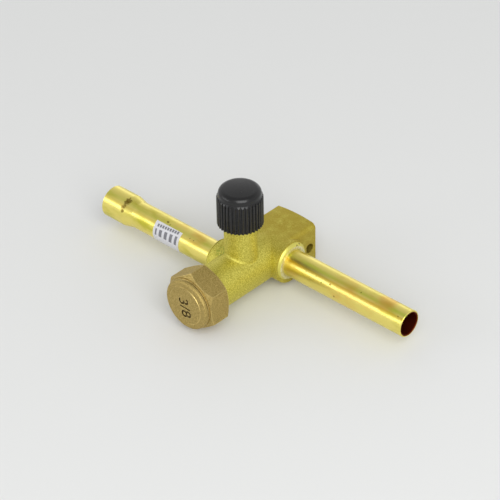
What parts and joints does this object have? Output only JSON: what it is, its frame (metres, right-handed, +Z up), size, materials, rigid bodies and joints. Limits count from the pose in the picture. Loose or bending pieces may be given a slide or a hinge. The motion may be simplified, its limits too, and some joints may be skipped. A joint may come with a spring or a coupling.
{
  "type": "refrigerant service valve",
  "caption": "Brass service valve with two brazed tubes on opposite sides, a screwed stem under a hexagon cap and a capped charging port.",
  "frame": {"origin": "centre of the machined back face of the body", "axes": "+X along the tubes towards the plain outlet tube, +Y out of the back face (the stem cap points to -Y), +Z up the charging port"},
  "size_m": [0.122, 0.0548, 0.0442],
  "materials": {
    "forged_brass": "chromated forging",
    "tube_brass": "drawn tube, bright",
    "braze_filler": "braze filler",
    "label_paper": "printed sticker",
    "turned_brass": "turned",
    "seal_rubber": "smooth",
    "spring_steel": "bright",
    "cap_brass": "tumbled, matt",
    "gasket_plastic": "smooth",
    "black_plastic": "moulded, satin",
    "core_brass": "turned"
  },
  "bodies": {
    "body": {"valve_body": "forged_brass", "outlet_tube": "tube_brass", "inlet_tube": "tube_brass", "outlet_braze_ring": "braze_filler", "inlet_braze_ring": "braze_filler", "tube_label": "label_paper", "stem_retaining_ring": "spring_steel", "core_plug": "core_brass", "core_barrel": "core_brass", "core_barrel_seal": "gasket_plastic", "core_spring": "spring_steel"},
    "stem_seals": {"stem_o_ring_inner": "seal_rubber", "stem_o_ring_outer": "seal_rubber"},
    "stem": {"stem": "turned_brass"},
    "stem_cap_gasket": {"stem_cap_gasket": "gasket_plastic"},
    "stem_cap": {"stem_cap": "cap_brass"},
    "port_cap_gasket": {"port_cap_gasket": "seal_rubber"},
    "port_cap": {"port_cap": "black_plastic"},
    "core_pin": {"core_pin": "core_brass", "core_cup": "core_brass", "core_cup_seal": "seal_rubber"}
  },
  "joints": [
    {"name": "stem_lift", "type": "slide", "parent": "body", "child": "stem_seals", "axis": [0, -1, 0], "range_m": [0, 0.0045]},
    {"name": "stem_turn", "type": "hinge", "parent": "stem_seals", "child": "stem", "pos_m": [0, 0, 0], "axis": [0, -1, 0], "range_deg": [0, 2160]},
    {"name": "stem_cap_lift", "type": "slide", "parent": "body", "child": "stem_cap_gasket", "axis": [0, -1, 0], "range_m": [0, 0.006]},
    {"name": "stem_cap_turn", "type": "hinge", "parent": "stem_cap_gasket", "child": "stem_cap", "pos_m": [0, 0, 0], "axis": [0, -1, 0], "range_deg": [0, 2160]},
    {"name": "port_cap_lift", "type": "slide", "parent": "body", "child": "port_cap_gasket", "axis": [0, 0, 1], "range_m": [0, 0.00889]},
    {"name": "port_cap_turn", "type": "hinge", "parent": "port_cap_gasket", "child": "port_cap", "pos_m": [0, -0.0277, 0], "axis": [0, 0, 1], "range_deg": [0, 2520]},
    {"name": "core_pin_push", "type": "slide", "parent": "body", "child": "core_pin", "axis": [0, 0, -1], "range_m": [0, 0.0012], "stiffness_N_per_m": 1200, "springref_m": -0.001, "deforming": ["core_spring"]}
  ],
  "couplings": [
    {"joint": "stem_lift", "follows": "stem_turn", "m_per_rad": 0.00011937},
    {"joint": "stem_cap_lift", "follows": "stem_cap_turn", "m_per_rad": 0.00015915},
    {"joint": "port_cap_lift", "follows": "port_cap_turn", "m_per_rad": 0.00020213}
  ]
}
